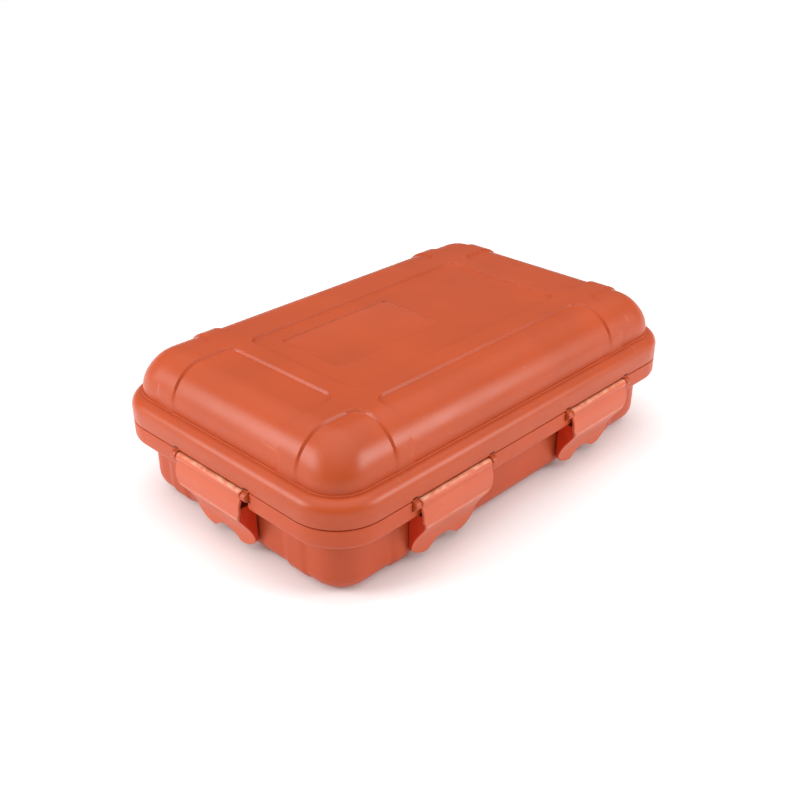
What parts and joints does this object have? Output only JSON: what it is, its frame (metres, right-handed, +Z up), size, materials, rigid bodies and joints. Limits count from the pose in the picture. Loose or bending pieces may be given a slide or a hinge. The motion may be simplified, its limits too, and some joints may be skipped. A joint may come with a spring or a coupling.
{
  "type": "first aid kit",
  "caption": "Pocket first aid kit in a hard two-part case with a domed banded lid, snap latches, rear hinges, a seal and foam pads, with rolled bandages and packets of dressings inside.",
  "frame": {"origin": "centre of the whole closed outline, on the surface that the case stands on", "axes": "+X along the length of the case, -Y to the side with two latches, +Z up out of the lid"},
  "size_m": [0.1694, 0.1124, 0.05],
  "materials": {
    "base_plastic": "satin moulded orange plastic",
    "lid_plastic": "satin moulded orange plastic",
    "latch_plastic": "satin moulded plastic, pinker and lighter than the shells",
    "seal_rubber": "matte black seal",
    "pin_steel": "drawn wire",
    "foam": "dark grey open-cell foam",
    "bandage_cotton": "woven cotton gauze",
    "cloth_tape": "white cloth tape",
    "core_card": "plain card",
    "packet_paper": "matte paper packet",
    "sachet_foil": "satin coated paper",
    "plaster_paper": "matte paper sleeve",
    "tweezer_steel": "brushed stainless steel"
  },
  "bodies": {
    "base": {"base_shell": "base_plastic", "hinge_pin_left": "pin_steel", "hinge_pin_right": "pin_steel", "base_foam_pad": "foam", "bandage_roll_left": "bandage_cotton", "bandage_roll_right": "bandage_cotton", "tape_roll": "cloth_tape", "tape_core": "core_card", "gauze_packet_lower": "packet_paper", "gauze_packet_middle": "packet_paper", "gauze_packet_upper": "packet_paper", "wipe_sachet_lower": "sachet_foil", "wipe_sachet_upper": "sachet_foil", "plaster_lower": "plaster_paper", "plaster_middle": "plaster_paper", "plaster_upper": "plaster_paper", "tweezers": "tweezer_steel"},
    "lid": {"lid_shell": "lid_plastic", "seal_ring": "seal_rubber", "lid_foam_pad": "foam"},
    "front_left": {"front_left_latch": "latch_plastic"},
    "front_right": {"front_right_latch": "latch_plastic"},
    "left": {"left_latch": "latch_plastic"},
    "right": {"right_latch": "latch_plastic"}
  },
  "joints": [
    {"name": "lid_hinge", "type": "hinge", "parent": "base", "child": "lid", "pos_m": [0, 0.05375, 0.027], "axis": [-1, 0, 0], "range_deg": [0, 110]},
    {"name": "front_left_latch_hinge", "type": "hinge", "parent": "lid", "child": "front_left", "pos_m": [-0.0358, -0.0541, 0.0254], "axis": [-1, 0, 0], "range_deg": [0, 110]},
    {"name": "front_right_latch_hinge", "type": "hinge", "parent": "lid", "child": "front_right", "pos_m": [0.0358, -0.0541, 0.0254], "axis": [-1, 0, 0], "range_deg": [0, 110]},
    {"name": "left_latch_hinge", "type": "hinge", "parent": "lid", "child": "left", "pos_m": [-0.08265, 0.00005, 0.0254], "axis": [0, 1, 0], "range_deg": [0, 110]},
    {"name": "right_latch_hinge", "type": "hinge", "parent": "lid", "child": "right", "pos_m": [0.08265, 0.00005, 0.0254], "axis": [0, -1, 0], "range_deg": [0, 110]}
  ]
}
